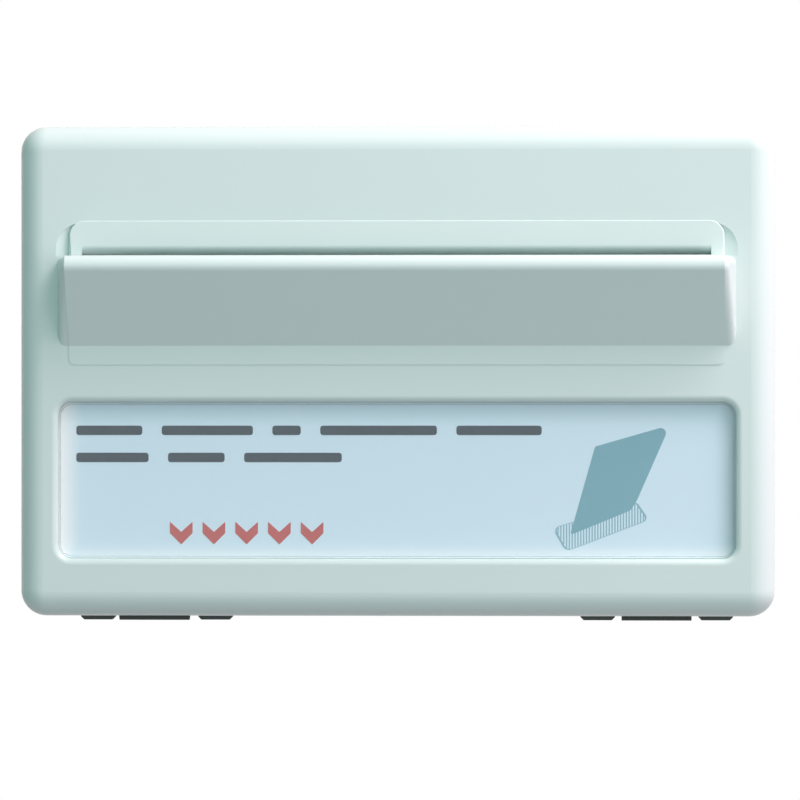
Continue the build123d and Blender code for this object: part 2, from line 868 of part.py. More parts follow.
# Latch springs: strips that step over the cover's bridge and dip through its windows
def latch_spring(group_x):
    """Bent strip, riveted to the frame above, whose rounded foot shows below the cover."""
    rest = frame_thickness + seat_gap + latch_thickness / 2
    over = -plate_top + shell_wall + latch_bend + latch_thickness
    window_front = latch_bridge_front + latch_window_depth
    back_leg = latch_bridge_front + loose_gap + latch_thickness / 2
    front_leg = window_front - loose_gap - latch_thickness / 2
    bottom = -plate_top - latch_proud + latch_thickness / 2
    with BuildPart() as spring:
        with BuildSketch(Plane.YZ.offset(group_x)):
            with BuildLine():
                FilletPolyline(
                    *side_view(
                        [
                            (rest, latch_seat_top),
                            (rest, over),
                            (back_leg, over),
                            (back_leg, bottom),
                            (front_leg, bottom),
                            (front_leg, over),
                            (window_front + latch_bend, over + latch_thickness),
                        ]
                    ),
                    radius=latch_bend,
                )
            trace(line_width=latch_thickness)
        extrude(amount=latch_width / 2, both=True)
        with BuildSketch(Plane.XZ):
            with Locations(
                (group_x - latch_stake_spacing / 2, latch_stake_height),
                (group_x + latch_stake_spacing / 2, latch_stake_height),
            ):
                Circle(latch_stake_radius + slide_clearance)
        extrude(amount=rest + latch_thickness, mode=Mode.SUBTRACT)
    return spring.part


with BuildPart() as latch_spring_left:
    add(latch_spring(lug_groups[0]))

latch_spring_left.part.label = "latch_spring_left"
export_step(latch_spring_left.part, "parts/latch_spring_left.step")

with BuildPart() as latch_spring_right:
    add(latch_spring(lug_groups[1]))

latch_spring_right.part.label = "latch_spring_right"
export_step(latch_spring_right.part, "parts/latch_spring_right.step")


# Pin that the lever turns on
with BuildPart() as lever_pin:
    with BuildSketch(Plane.YZ):
        with Locations((-lever_pivot_depth, lever_pivot_height)):
            Circle(pin_radius)
    extrude(amount=pin_ear_inner + pin_ear_width, both=True)

lever_pin.part.label = "lever_pin"
export_step(lever_pin.part, "parts/lever_pin.step")


# Card lever: hub, arm, pad for the plunger and a nose that crosses the card's channel
lever_back_depth = lever_pivot_depth - plunger_head_gap
lever_front_depth = lever_back_depth + lever_thickness
with BuildPart() as card_lever:
    with BuildSketch(Plane.YZ) as lever_side:
        with BuildLine():
            Polyline(
                *side_view(
                    [
                        (lever_front_depth, lever_pivot_height),
                        (lever_front_depth, lever_knee_height),
                        (lever_nose_depth, lever_nose_height),
                        (lever_nose_depth, lever_nose_height - lever_nose_length),
                        (lever_nose_depth - lever_thickness, lever_foot_height),
                        (lever_foot_depth, lever_foot_height),
                        (lever_foot_depth, lever_nose_height),
                        (lever_back_depth, lever_knee_height),
                        (lever_back_depth, lever_pivot_height),
                    ]
                ),
                close=True,
            )
        make_face()
        fillet(lever_side.vertices().group_by(Axis.X)[0], lever_nose_round)
        with Locations((-lever_pivot_depth, lever_pivot_height)):
            Circle(lever_hub_radius)
        with Locations((-lever_pad_depth, plunger_height)):
            Circle(lever_pad_radius)
        with Locations((-lever_pivot_depth, lever_pivot_height)):
            Circle(pin_radius + pin_clearance, mode=Mode.SUBTRACT)
    extrude(amount=lever_width / 2, both=True)

card_lever.part.label = "card_lever"
export_step(card_lever.part, "parts/card_lever.step")


# Torsion spring on the pin: one leg presses the arm forwards, the other stands on the frame
with BuildPart() as lever_coil:
    with BuildLine() as lever_spring_path:
        coil = Helix(
            pitch=lever_spring_pitch,
            height=lever_spring_pitch * lever_spring_turns,
            radius=lever_spring_radius,
            center=(lever_width / 2 + loose_gap + lever_spring_wire / 2, 0, 0),
            direction=(1, 0, 0),
        )
        leg_end = coil @ 0 - (coil % 0) * lever_spring_leg
        FilletPolyline(
            leg_end - Vector(lever_spring_hook, 0, 0), leg_end, coil @ 0, radius=lever_spring_bend
        )
        Line(coil @ 1, coil @ 1 + (coil % 1) * (lever_pivot_depth - frame_thickness - lever_spring_wire))
    path_wire = lever_spring_path.wire()
    with BuildSketch(Plane(origin=path_wire @ 0, z_dir=path_wire % 0)):
        Circle(lever_spring_wire / 2)
    sweep(path=path_wire)

with BuildPart() as lever_spring:
    add(
        Pos(0, -lever_pivot_depth, lever_pivot_height)
        * Rot(-quarter_turn - lever_spring_tilt, 0, 0)
        * lever_coil.part
    )

lever_spring.part.label = "lever_spring"
export_step(lever_spring.part, "parts/lever_spring.step")


# Switch plunger with its clip and return spring
head_front_depth = lever_pad_depth - lever_pad_radius - plunger_head_gap
with BuildPart() as switch_plunger:
    with BuildSketch(Plane.XZ.offset(-plunger_end_reach)):
        with Locations((0, plunger_height)):
            Circle(plunger_radius)
    extrude(amount=plunger_end_reach + head_front_depth)
    fillet(switch_plunger.faces().sort_by(Axis.Y)[-1].edges(), plunger_end_round)
    with BuildSketch(Plane.XZ.offset(head_front_depth - plunger_head_thickness)):
        with Locations((0, plunger_height)):
            Circle(plunger_head_radius)
    extrude(amount=plunger_head_thickness)
    fillet(switch_plunger.faces().sort_by(Axis.Y)[0].edges(), plunger_head_gap * 2)
    with BuildSketch(Plane.XZ.offset(-clip_reach - clip_thickness)):
        with Locations((0, plunger_height)):
            Circle(plunger_radius + overrun)
            Circle(plunger_radius - clip_groove, mode=Mode.SUBTRACT)
    extrude(amount=clip_thickness, mode=Mode.SUBTRACT)

switch_plunger.part.label = "switch_plunger"
export_step(switch_plunger.part, "parts/switch_plunger.step")

with BuildPart() as plunger_clip:
    with BuildSketch(Plane.XZ.offset(-clip_reach - clip_thickness + seat_gap)):
        with Locations((0, plunger_height)):
            Circle(clip_radius)
            Circle(plunger_radius - clip_groove + seat_gap, mode=Mode.SUBTRACT)
        with Locations((0, plunger_height - clip_radius)):
            Rectangle(plunger_radius, 2 * clip_radius, mode=Mode.SUBTRACT)
    extrude(amount=clip_thickness - 2 * seat_gap)

plunger_clip.part.label = "plunger_clip"
export_step(plunger_clip.part, "parts/plunger_clip.step")

plunger_spring_top = head_front_depth - plunger_head_thickness - plunger_spring_wire / 2 - seat_gap
plunger_spring_foot = -plunger_well_floor + plunger_spring_wire / 2 + seat_gap
plunger_spring_length = plunger_spring_top - plunger_spring_foot
with BuildPart() as plunger_spring:
    with BuildLine():
        plunger_coil = Helix(
            pitch=plunger_spring_length / plunger_spring_turns,
            height=plunger_spring_length,
            radius=plunger_spring_radius,
            center=(0, -plunger_spring_foot, plunger_height),
            direction=(0, -1, 0),
        )
    with BuildSketch(Plane(origin=plunger_coil @ 0, z_dir=plunger_coil % 0)):
        Circle(plunger_spring_wire / 2)
    sweep()

plunger_spring.part.label = "plunger_spring"
export_step(plunger_spring.part, "parts/plunger_spring.step")

# Screws that hold the switch case to the frame
case_screw = pan_screw(
    case_screw_radius,
    case_screw_length,
    case_screw_head_radius,
    case_screw_head_height,
    screw_slot_width,
    screw_slot_depth,
)
with BuildPart() as case_screws:
    for x, height in case_screw_places:
        add(Pos(x, -frame_thickness - case_ear_thickness, height) * Rot(0, 0, half_turn) * case_screw)

case_screws.part.label = "case_screws"
export_step(case_screws.part, "parts/case_screws.step")


# Switch case: an open-fronted box with terminal bays, hung on the frame by its ears
with BuildPart() as switch_case:
    with BuildSketch(Plane.XZ.offset(-case_reach)):
        with Locations((0, case_middle)):
            RectangleRounded(case_width, case_top - case_bottom, case_corner)
    extrude(amount=case_reach + case_front_depth)
    with BuildSketch(Plane.XZ.offset(-case_inner_reach)):
        with Locations((0, case_middle)):
            Rectangle(case_inner_width, case_inner_top - case_inner_bottom)
    extrude(amount=case_inner_reach + case_front_depth, mode=Mode.SUBTRACT)
    with BuildSketch(Plane.XZ.offset(lid_back_depth)):
        with Locations((0, case_middle)):
            Rectangle(
                case_inner_width + 2 * lid_rebate, case_inner_top - case_inner_bottom + 2 * lid_rebate
            )
    extrude(amount=lid_thickness, mode=Mode.SUBTRACT)
    # Shelf over the terminals, with a slot for each busbar
    with BuildSketch(Plane.XY.offset(shelf_bottom)):
        with Locations((0, case_inner_reach)):
            Rectangle(
                case_inner_width, case_inner_reach - cage_front_reach, align=(Align.CENTER, Align.MAX)
            )
        with Locations(*[(x, busbar_reach + busbar_thickness / 2) for x in terminal_places]):
            Rectangle(
                busbar_width + 2 * wire_play, busbar_thickness + 2 * wire_play, mode=Mode.SUBTRACT
            )
    extrude(amount=shelf_thickness)
    # Walls between the terminals
    with BuildSketch(Plane.XY.offset(case_inner_bottom)):
        with Locations(
            *[(x + terminal_pitch / 2, case_inner_reach) for x in terminal_places[:-1]],
        ):
            Rectangle(
                partition_thickness, case_inner_reach - cage_front_reach, align=(Align.CENTER, Align.MAX)
            )
    extrude(amount=shelf_bottom - case_inner_bottom)
    # Wire entries below and driver holes at the back
    with BuildSketch(Plane.XY.offset(case_bottom)):
        with Locations(*[(x, wire_reach) for x in terminal_places]):
            Circle(wire_radius)
    extrude(amount=case_wall, mode=Mode.SUBTRACT)
    with BuildSketch(Plane.XZ.offset(-case_reach)):
        with Locations(*[(x, terminal_height) for x in terminal_places]):
            Circle(driver_hole_radius)
    extrude(amount=case_wall, mode=Mode.SUBTRACT)
    # Ears on the frame's front, each with a root in the box's thinned wall
    ear_root = case_wall - lid_rebate
    for x in (-case_ear_x, case_ear_x):
        for edge_height, outward in ((case_top, 1), (case_bottom, -1)):
            root_height = edge_height - outward * ear_root / 2
            with BuildSketch(Plane.XZ.offset(lid_back_depth)):
                with Locations((x, root_height)):
                    Rectangle(case_ear_width, ear_root)
            extrude(amount=frame_thickness + case_ear_thickness - lid_back_depth)
            ear_middle = edge_height + outward * (case_ear_length - ear_root) / 2
            with BuildSketch(Plane.XZ.offset(frame_thickness)):
                with Locations((x, ear_middle)):
                    RectangleRounded(case_ear_width, case_ear_length + ear_root, ear_root)
                with Locations((x, edge_height + outward * case_screw_offset)):
                    Circle(case_screw_radius + loose_gap, mode=Mode.SUBTRACT)
            extrude(amount=case_ear_thickness)

switch_case.part.label = "switch_case"
export_step(switch_case.part, "parts/switch_case.step")


# Lid of the switch case, with the plunger's guide
with BuildPart() as switch_case_lid:
    with BuildSketch(Plane.XZ.offset(lid_back_depth)):
        with Locations((0, case_middle)):
            Rectangle(
                case_inner_width + 2 * lid_rebate - 2 * window_gap,
                case_inner_top - case_inner_bottom + 2 * lid_rebate - 2 * window_gap,
            )
    extrude(amount=lid_thickness)
    with BuildSketch(Plane.XZ.offset(-plunger_boss_reach)):
        with Locations((0, plunger_height)):
            Circle(plunger_boss_radius)
    extrude(amount=plunger_boss_reach + lid_back_depth + join)
    with BuildSketch(Plane.XZ.offset(-plunger_well_floor)):
        with Locations((0, plunger_height)):
            Circle(plunger_spring_well_radius)
    extrude(amount=plunger_well_floor + case_front_depth, mode=Mode.SUBTRACT)
    with BuildSketch(Plane.XZ.offset(-plunger_boss_reach)):
        with Locations((0, plunger_height)):
            Circle(plunger_radius + plunger_clearance)
    extrude(amount=plunger_boss_reach, mode=Mode.SUBTRACT)

switch_case_lid.part.label = "switch_case_lid"
export_step(switch_case_lid.part, "parts/switch_case_lid.step")


def contact_rivet(plate_thickness, tail_radius, tail_height):
    """Rivet on the Y axis: its face towards +Y, its seat at the origin, its tail towards -Y."""
    with BuildPart() as rivet:
        with BuildSketch(Plane.XZ.offset(-contact_head)):
            Circle(contact_radius)
        extrude(amount=contact_head)
        with BuildSketch(Plane.XZ):
            Circle(contact_shank_radius)
        extrude(amount=plate_thickness)
        with BuildSketch(Plane.XZ.offset(plate_thickness)):
            Circle(tail_radius)
        extrude(amount=tail_height)
    return rivet.part


def upright_plate(x, width, foot, head, reach, thickness):
    """Strip that stands across the case: x is its middle and reach its front face."""
    with BuildPart() as plate:
        with BuildSketch(Plane.XZ.offset(-reach - thickness)):
            with Locations((x, foot)):
                Rectangle(width, head - foot, align=(Align.CENTER, Align.MIN))
        extrude(amount=thickness)
    return plate.part


def side_plate(x, foot, head, front, back):
    """Strip that runs into the case: x is its middle, front and back its reaches."""
    with BuildPart() as plate:
        with BuildSketch(Plane.YZ.offset(x - arm_thickness / 2)):
            with Locations((front, foot)):
                Rectangle(back - front, head - foot, align=(Align.MIN, Align.MIN))
        extrude(amount=arm_thickness)
    return plate.part


# Busbars: each runs from its terminal through the shelf to its contact
arm_foot = plunger_height - arm_width / 2
arm_head = plunger_height + arm_width / 2
busbar_back = busbar_reach + busbar_thickness
common_x, closed_x, open_x = terminal_places

with BuildPart() as common_busbar:
    add(
        upright_plate(
            common_x, busbar_width, busbar_foot_height, arm_head, busbar_reach, busbar_thickness
        )
    )
    add(
        side_plate(
            blade_pivot_x - arm_thickness / 2, arm_foot, arm_head, blade_reach - contact_head, busbar_back
        )
    )

common_busbar.part.label = "common_busbar"
export_step(common_busbar.part, "parts/common_busbar.step")

closed_tab_reach = closed_face_reach - contact_head - busbar_thickness
closed_step = shelf_height + wire_play
with BuildPart() as closed_busbar:
    add(
        upright_plate(
            closed_x,
            busbar_width,
            busbar_foot_height,
            closed_step + arm_thickness,
            busbar_reach,
            busbar_thickness,
        )
    )
    with BuildSketch(Plane.XY.offset(closed_step)):
        with Locations((closed_x, closed_tab_reach)):
            Rectangle(busbar_width, busbar_back - closed_tab_reach, align=(Align.CENTER, Align.MIN))
    extrude(amount=arm_thickness)
    lower_width = contact_x + arm_width / 2 - closed_x + busbar_width / 2
    lower_middle = closed_x - busbar_width / 2 + lower_width / 2
    add(
        upright_plate(
            lower_middle,
            lower_width,
            closed_step,
            closed_step + arm_width / 2,
            closed_tab_reach,
            busbar_thickness,
        )
    )
    add(upright_plate(contact_x, arm_width, closed_step, arm_head, closed_tab_reach, busbar_thickness))
    with BuildSketch(Plane.XZ):
        with Locations((contact_x, plunger_height)):
            Circle(contact_shank_radius + seat_gap)
    extrude(amount=-busbar_reach, mode=Mode.SUBTRACT)

closed_busbar.part.label = "closed_busbar"
export_step(closed_busbar.part, "parts/closed_busbar.step")

open_tab_reach = open_face_reach + contact_head
with BuildPart() as open_busbar:
    add(upright_plate(open_x, busbar_width, busbar_foot_height, arm_head, busbar_reach, busbar_thickness))
    add(
        side_plate(
            open_x + busbar_width / 2 - arm_thickness / 2, arm_foot, arm_head, open_tab_reach, busbar_back
        )
    )
    add(upright_plate(contact_x, busbar_width, arm_foot, arm_head, open_tab_reach, busbar_thickness))
    with BuildSketch(Plane.XZ):
        with Locations((contact_x, plunger_height)):
            Circle(contact_shank_radius + seat_gap)
    extrude(amount=-busbar_reach, mode=Mode.SUBTRACT)

open_busbar.part.label = "open_busbar"
export_step(open_busbar.part, "parts/open_busbar.step")


# Contacts
with BuildPart() as closed_contact:
    add(
        Pos(contact_x, closed_tab_reach + busbar_thickness, plunger_height)
        * contact_rivet(busbar_thickness, contact_radius, contact_head / 2)
    )

closed_contact.part.label = "closed_contact"
export_step(closed_contact.part, "parts/closed_contact.step")

with BuildPart() as open_contact:
    add(
        Pos(contact_x, open_tab_reach, plunger_height)
        * Rot(0, 0, half_turn)
        * contact_rivet(busbar_thickness, contact_radius, contact_head / 2)
    )

open_contact.part.label = "open_contact"
export_step(open_contact.part, "parts/open_contact.step")

with BuildPart() as moving_contact:
    add(
        Pos(contact_x, blade_reach + blade_thickness, plunger_height)
        * contact_rivet(blade_thickness, contact_radius, contact_head)
    )

moving_contact.part.label = "moving_contact"
export_step(moving_contact.part, "parts/moving_contact.step")


# Contact blade, pushed by the plunger about its root
with BuildPart() as contact_blade:
    with BuildSketch(Plane.XZ.offset(-blade_reach - blade_thickness)):
        with Locations((blade_pivot_x + contact_gap, plunger_height)):
            Rectangle(
                contact_x + contact_radius + contact_gap - blade_pivot_x,
                blade_height,
                align=(Align.MIN, Align.CENTER),
            )
        with Locations((contact_x, plunger_height)):
            Circle(contact_shank_radius + seat_gap, mode=Mode.SUBTRACT)
    extrude(amount=blade_thickness)
    fillet(contact_blade.edges().filter_by(Axis.Y), contact_shank_radius)

contact_blade.part.label = "contact_blade"
export_step(contact_blade.part, "parts/contact_blade.step")


# Terminals: a captive screw draws its cage back, which grips the wire against the busbar
terminal_screw = pan_screw(
    terminal_screw_radius,
    terminal_head_reach - terminal_tip_reach,
    terminal_screw_head_radius,
    terminal_screw_head_height,
    screw_slot_width,
    screw_slot_depth,
)
with BuildPart() as clamp_cage:
    with BuildSketch(Plane.XZ.offset(-cage_back_reach)):
        with Locations((0, terminal_height)):
            Rectangle(cage_width, cage_height)
    extrude(amount=cage_back_reach - cage_front_reach)
    with BuildSketch(Plane.XY.offset(terminal_height - cage_height / 2)):
        with Locations((0, cage_front_reach + cage_wall)):
            Rectangle(
                cage_width - 2 * cage_wall,
                cage_back_reach - cage_thread_wall - cage_front_reach - cage_wall,
                align=(Align.CENTER, Align.MIN),
            )
    extrude(amount=cage_height, mode=Mode.SUBTRACT)
    with BuildSketch(Plane.XZ.offset(-cage_back_reach)):
        with Locations((0, terminal_height)):
            Circle(terminal_screw_radius + slide_clearance)
    extrude(amount=cage_thread_wall, mode=Mode.SUBTRACT)
    fillet(clamp_cage.edges().filter_by(Axis.Z).group_by(Axis.Y)[0], cage_wall / 2)

for number, x in enumerate(terminal_places, start=1):
    with BuildPart() as terminal_screw_copy:
        add(Pos(x, terminal_head_reach, terminal_height) * terminal_screw)
    terminal_screw_copy.part.label = f"terminal_screw_{number}"
    export_step(terminal_screw_copy.part, f"parts/terminal_screw_{number}.step")
    with BuildPart() as clamp_cage_copy:
        add(Pos(x, 0, 0) * clamp_cage.part)
    clamp_cage_copy.part.label = f"clamp_cage_{number}"
    export_step(clamp_cage_copy.part, f"parts/clamp_cage_{number}.step")
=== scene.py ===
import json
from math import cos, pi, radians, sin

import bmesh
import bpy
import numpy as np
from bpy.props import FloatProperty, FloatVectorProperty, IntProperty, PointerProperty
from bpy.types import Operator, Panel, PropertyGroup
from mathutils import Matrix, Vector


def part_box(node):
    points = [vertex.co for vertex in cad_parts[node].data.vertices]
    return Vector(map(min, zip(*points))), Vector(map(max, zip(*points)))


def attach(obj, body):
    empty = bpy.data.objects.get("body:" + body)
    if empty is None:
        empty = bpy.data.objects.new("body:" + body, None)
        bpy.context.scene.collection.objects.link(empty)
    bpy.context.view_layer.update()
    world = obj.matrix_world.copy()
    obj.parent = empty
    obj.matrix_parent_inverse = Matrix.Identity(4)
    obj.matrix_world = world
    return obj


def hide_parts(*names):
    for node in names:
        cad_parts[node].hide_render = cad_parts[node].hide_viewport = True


bl_info = {
    "name": "Key Card Switch",
    "version": (1, 0, 0),
    "blender": (4, 5, 0),
    "location": "3D View > Sidebar > Key Card Switch",
    "description": "Finishes, printed label, window and studio of a wall-mounted key card switch",
    "category": "Object",
}

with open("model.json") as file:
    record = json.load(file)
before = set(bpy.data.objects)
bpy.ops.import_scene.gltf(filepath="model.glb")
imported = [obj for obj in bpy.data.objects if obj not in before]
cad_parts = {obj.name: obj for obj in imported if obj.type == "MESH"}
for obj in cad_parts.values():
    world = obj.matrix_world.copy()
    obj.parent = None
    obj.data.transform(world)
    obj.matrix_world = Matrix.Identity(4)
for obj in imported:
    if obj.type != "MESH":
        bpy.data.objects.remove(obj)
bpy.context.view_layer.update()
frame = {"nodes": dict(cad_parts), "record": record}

MM = 0.001
PHOTO_WIDTH = 800
# How far the face of the plate stands off the wall
FACE_DEPTH = 12 * MM
# Edges of a mesh that turn by more than this stay sharp
SHARP_ANGLE = radians(32)
# How deep the marks on every metal are
METAL_DENT = 0.001 * MM
WHITE = (1.0, 1.0, 1.0, 1.0)
# Sockets of the Mix node when it mixes colours
MIX_FACTOR, MIX_FIRST, MIX_SECOND, MIX_RESULT = 0, 6, 7, 2


def linear(code):
    """Linear red, green and blue of an sRGB hex code.

    The curve is a straight line up to 0.04045, and a power of 2.4 above it.
    """
    shares = np.array([int(code[start:start + 2], 16) for start in (0, 2, 4)]) / 255
    bent = ((shares + 0.055) / 1.055) ** 2.4
    return tuple(np.where(shares <= 0.04045, shares / 12.92, bent))


def colour_property(name, code, description):
    """Colour that a user can change, its default given as an sRGB hex code."""
    return FloatVectorProperty(
        name=name,
        description=description,
        subtype="COLOR",
        size=3,
        min=0.0,
        max=1.0,
        default=linear(code),
    )


def length_property(name, millimetres, description):
    """Length that a user can change, its default given in millimetres."""
    return FloatProperty(
        name=name,
        description=description,
        subtype="DISTANCE",
        unit="LENGTH",
        default=millimetres * MM,
    )


class KeyCardColours(PropertyGroup):
    """Colours of the finishes."""

    cover: colour_property("Cover", "D6E6E2", "Glossy white ABS of the cover")
    card: colour_property("Label Card", "DBF0FA", "Pale blue of the printed card")
    text: colour_property("Label Lines", "28404C", "Ink of the two rows of bars")
    picture: colour_property("Label Picture", "74ABB8", "Ink of the card picture")
    hatch: colour_property("Label Hatch", "86B4C4", "Ink of the pictured slot")
    mark: colour_property("Label Marks", "C85A58", "Ink of the row of arrows")
    window: colour_property("Window", "F8FCFD", "Tint of the clear acrylic window")
    pocket: colour_property("Pocket", "BCC4C4", "Grey polypropylene of the card pocket")
    frame: colour_property("Frame", "454F4C", "Grey glass-filled nylon of the mounting frame")
    lever: colour_property("Lever", "E2DFD2", "Natural acetal of the card lever")
    plunger: colour_property("Plunger", "C8622A", "Orange acetal of the switch plunger")
    case: colour_property("Case", "22262A", "Black glass-filled nylon of the switch case")
    steel: colour_property("Zinc Steel", "C4C6CA", "Zinc-plated steel of screws, pin and cages")
    spring: colour_property("Spring Steel", "A8ABAE", "Bright spring steel")
    strip: colour_property("Spring Strip", "3C4442", "Blued strip of the latch springs")
    brass: colour_property("Brass", "D8B36A", "Stamped brass of the busbars")
    silver: colour_property("Silver", "E4E2DC", "Silver contact faces")
    floor: colour_property("Floor", "A0A4A4", "Floor under the object, as it sends light back")


class KeyCardSizes(PropertyGroup):
    """Sizes of what the scene adds to the model."""

    ink: length_property("Ink", 0.03, "How far the ink stands on the label card")
    window_gap: length_property("Window Gap", 0.08, "Air between the label card and the window")
    cove_width: length_property("Window Cove Width", 2.4, "Width of the window's hollow edge")
    cove_depth: length_property("Window Cove Depth", 0.35, "Depth of the window's hollow edge")
    rim: length_property("Window Rim", 0.22, "Width of the window's flat rim")
    bar_height: length_property("Bar Height", 1.5, "Height of the bars on the label")
    hatch_pitch: length_property("Hatch Pitch", 0.45, "Spacing of the strokes in the pictured slot")
    camera_distance: length_property("Camera Distance", 1000.0, "From the camera to the plate")
    light_distance: length_property("Light Distance", 500.0, "From the soft box to the object")
    corner_segments: IntProperty(
        name="Corner Segments",
        description="Steps round each rounded corner",
        default=10,
        min=3,
        max=32,
    )


# Points and meshes


def placed(outline, depth):
    """Points of the model from outline points (across, up) and a depth in front of the wall."""
    depths = np.broadcast_to(-np.asarray(depth, float), outline.shape[:-1])
    return np.stack([outline[..., 0], depths, outline[..., 1]], axis=-1)


def rounded_outline(width, height, radius, segments, centre=(0.0, 0.0)):
    """Rounded rectangle: each corner is a quarter circle, centred one radius in from its sides."""
    turn = np.linspace(0, pi / 2, segments + 1)
    quarters = np.arange(4)[:, None] * pi / 2 + turn[None, :]
    side = np.array([[1, 1], [-1, 1], [-1, -1], [1, -1]])[:, None, :]
    middle = side * (np.array([width, height]) / 2 - radius)
    points = middle + radius * np.stack([np.cos(quarters), np.sin(quarters)], axis=-1)
    return points.reshape(-1, 2) + np.array(centre)


def ringed_mesh(name, solids):
    """Closed surfaces through rings of points.

    The end rings are capped, or join where the last repeats the first.
    """
    points, faces, first = [], [], 0
    for rings in solids:
        looped = np.allclose(rings[0], rings[-1], atol=1e-9)
        kept = rings[:-1] if looped else rings
        count, size, _ = kept.shape
        index = first + np.arange(count * size).reshape(count, size)
        if looped:
            faces += joined(np.concatenate([index, index[:1]]))
        else:
            faces += joined(index) + [index[0, ::-1].tolist(), index[-1].tolist()]
        points.append(kept.reshape(-1, 3))
        first += count * size
    mesh = bpy.data.meshes.new(name)
    mesh.from_pydata(np.concatenate(points).tolist(), [], faces)
    work = bmesh.new()
    work.from_mesh(mesh)
    bmesh.ops.recalc_face_normals(work, faces=work.faces)
    work.to_mesh(mesh)
    work.free()
    return mesh


def joined(index):
    """Quads between neighbouring rings of point numbers."""
    after = np.roll(index, -1, axis=1)
    return np.stack([index[:-1], after[:-1], after[1:], index[1:]], axis=-1).reshape(-1, 4).tolist()


def prism(outline, back, front):
    """Flat shape carried from one depth to another."""
    return np.stack([placed(outline, back), placed(outline, front)])


def band(outer, inner, back, front):
    """Flat ring between two outlines of as many points, carried from one depth to another."""
    rings = [placed(outer, back), placed(outer, front), placed(inner, front), placed(inner, back)]
    return np.stack([*rings, rings[0]])


def rounded_polygon(corners, radii, segments):
    """Polygon whose corners are arcs.

    An arc of radius r starts r / tan(half the corner's angle) from its corner.
    """
    corners = np.asarray(corners, float)
    points = []
    for before, corner, after, radius in zip(
        np.roll(corners, 1, axis=0), corners, np.roll(corners, -1, axis=0), radii
    ):
        start = (before - corner) / np.linalg.norm(before - corner)
        end = (after - corner) / np.linalg.norm(after - corner)
        half = np.arccos(np.clip(start @ end, -1, 1)) / 2
        middle = (start + end) / np.linalg.norm(start + end)
        centre = corner + middle * radius / sin(half)
        turn = np.linspace(-1, 1, segments + 1)[:, None] * (pi / 2 - half)
        side = start - (start @ middle) * middle
        side /= np.linalg.norm(side)
        points.append(centre + radius * (-middle * np.cos(turn) - side * np.sin(turn)))
    return np.concatenate(points)


def new_object(name, mesh):
    """Object at the origin, shaded smooth but for its sharp edges."""
    mesh.shade_smooth()
    mesh.set_sharp_from_angle(angle=SHARP_ANGLE)
    obj = bpy.data.objects.new(name, mesh)
    bpy.context.scene.collection.objects.link(obj)
    return obj


def dress(obj, material, body, slot, *nodes):
    """Give a piece its material and body, and hide the nodes that it stands for; its slot is not
    used.
    """
    obj.data.materials.clear()
    obj.data.materials.append(material)
    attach(obj, body)
    if nodes:
        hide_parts(*nodes)


# Materials


def add_node(tree, kind, inputs=None, **settings):
    """Add a node with its settings; each input takes a value or another node's output."""
    node = tree.nodes.new(kind)
    for name, value in settings.items():
        setattr(node, name, value)
    for name, value in (inputs or {}).items():
        if isinstance(value, bpy.types.NodeSocket):
            tree.links.new(value, node.inputs[name])
        else:
            node.inputs[name].default_value = value
    return node


def new_material(name):
    """Empty node material and its tree."""
    material = bpy.data.materials.new(name)
    material.use_nodes = True
    material.node_tree.nodes.clear()
    return material, material.node_tree


def shaded(colour, level):
    """Colour at a share of its brightness, with full alpha."""
    return (*[min(1.0, part * level) for part in colour], 1.0)


def plastic(name, colour, roughness, grain, depth, cloud=0.03):
    """Moulded plastic.

    Its colour drifts a little over 30 mm, and the mould's grain dents it and dulls it.
    """
    drift_length = 30 * MM
    dull_share = 0.15
    material, tree = new_material(name)
    place = add_node(tree, "ShaderNodeTexCoord").outputs["Object"]
    drift = add_node(
        tree, "ShaderNodeTexNoise", {"Vector": place, "Scale": 1 / drift_length, "Detail": 2.0}
    )
    tone = add_node(
        tree,
        "ShaderNodeMix",
        {
            MIX_FACTOR: drift.outputs["Fac"],
            MIX_FIRST: shaded(colour, 1 - cloud),
            MIX_SECOND: shaded(colour, 1 + cloud),
        },
        data_type="RGBA",
    )
    fine = add_node(
        tree, "ShaderNodeTexNoise", {"Vector": place, "Scale": 1 / grain, "Detail": 3.0}
    )
    dull = add_node(
        tree,
        "ShaderNodeMapRange",
        {
            "Value": fine.outputs["Fac"],
            "To Min": roughness * (1 - dull_share),
            "To Max": roughness * (1 + dull_share),
        },
    )
    dent = add_node(
        tree,
        "ShaderNodeBump",
        {"Height": fine.outputs["Fac"], "Distance": depth, "Strength": 1.0},
    )
    surface = add_node(
        tree,
        "ShaderNodeBsdfPrincipled",
        {
            "Base Color": tone.outputs[MIX_RESULT],
            "Roughness": dull.outputs["Result"],
            "IOR": 1.52,
            "Normal": dent.outputs["Normal"],
        },
    )
    add_node(tree, "ShaderNodeOutputMaterial", {"Surface": surface.outputs["BSDF"]})
    return material


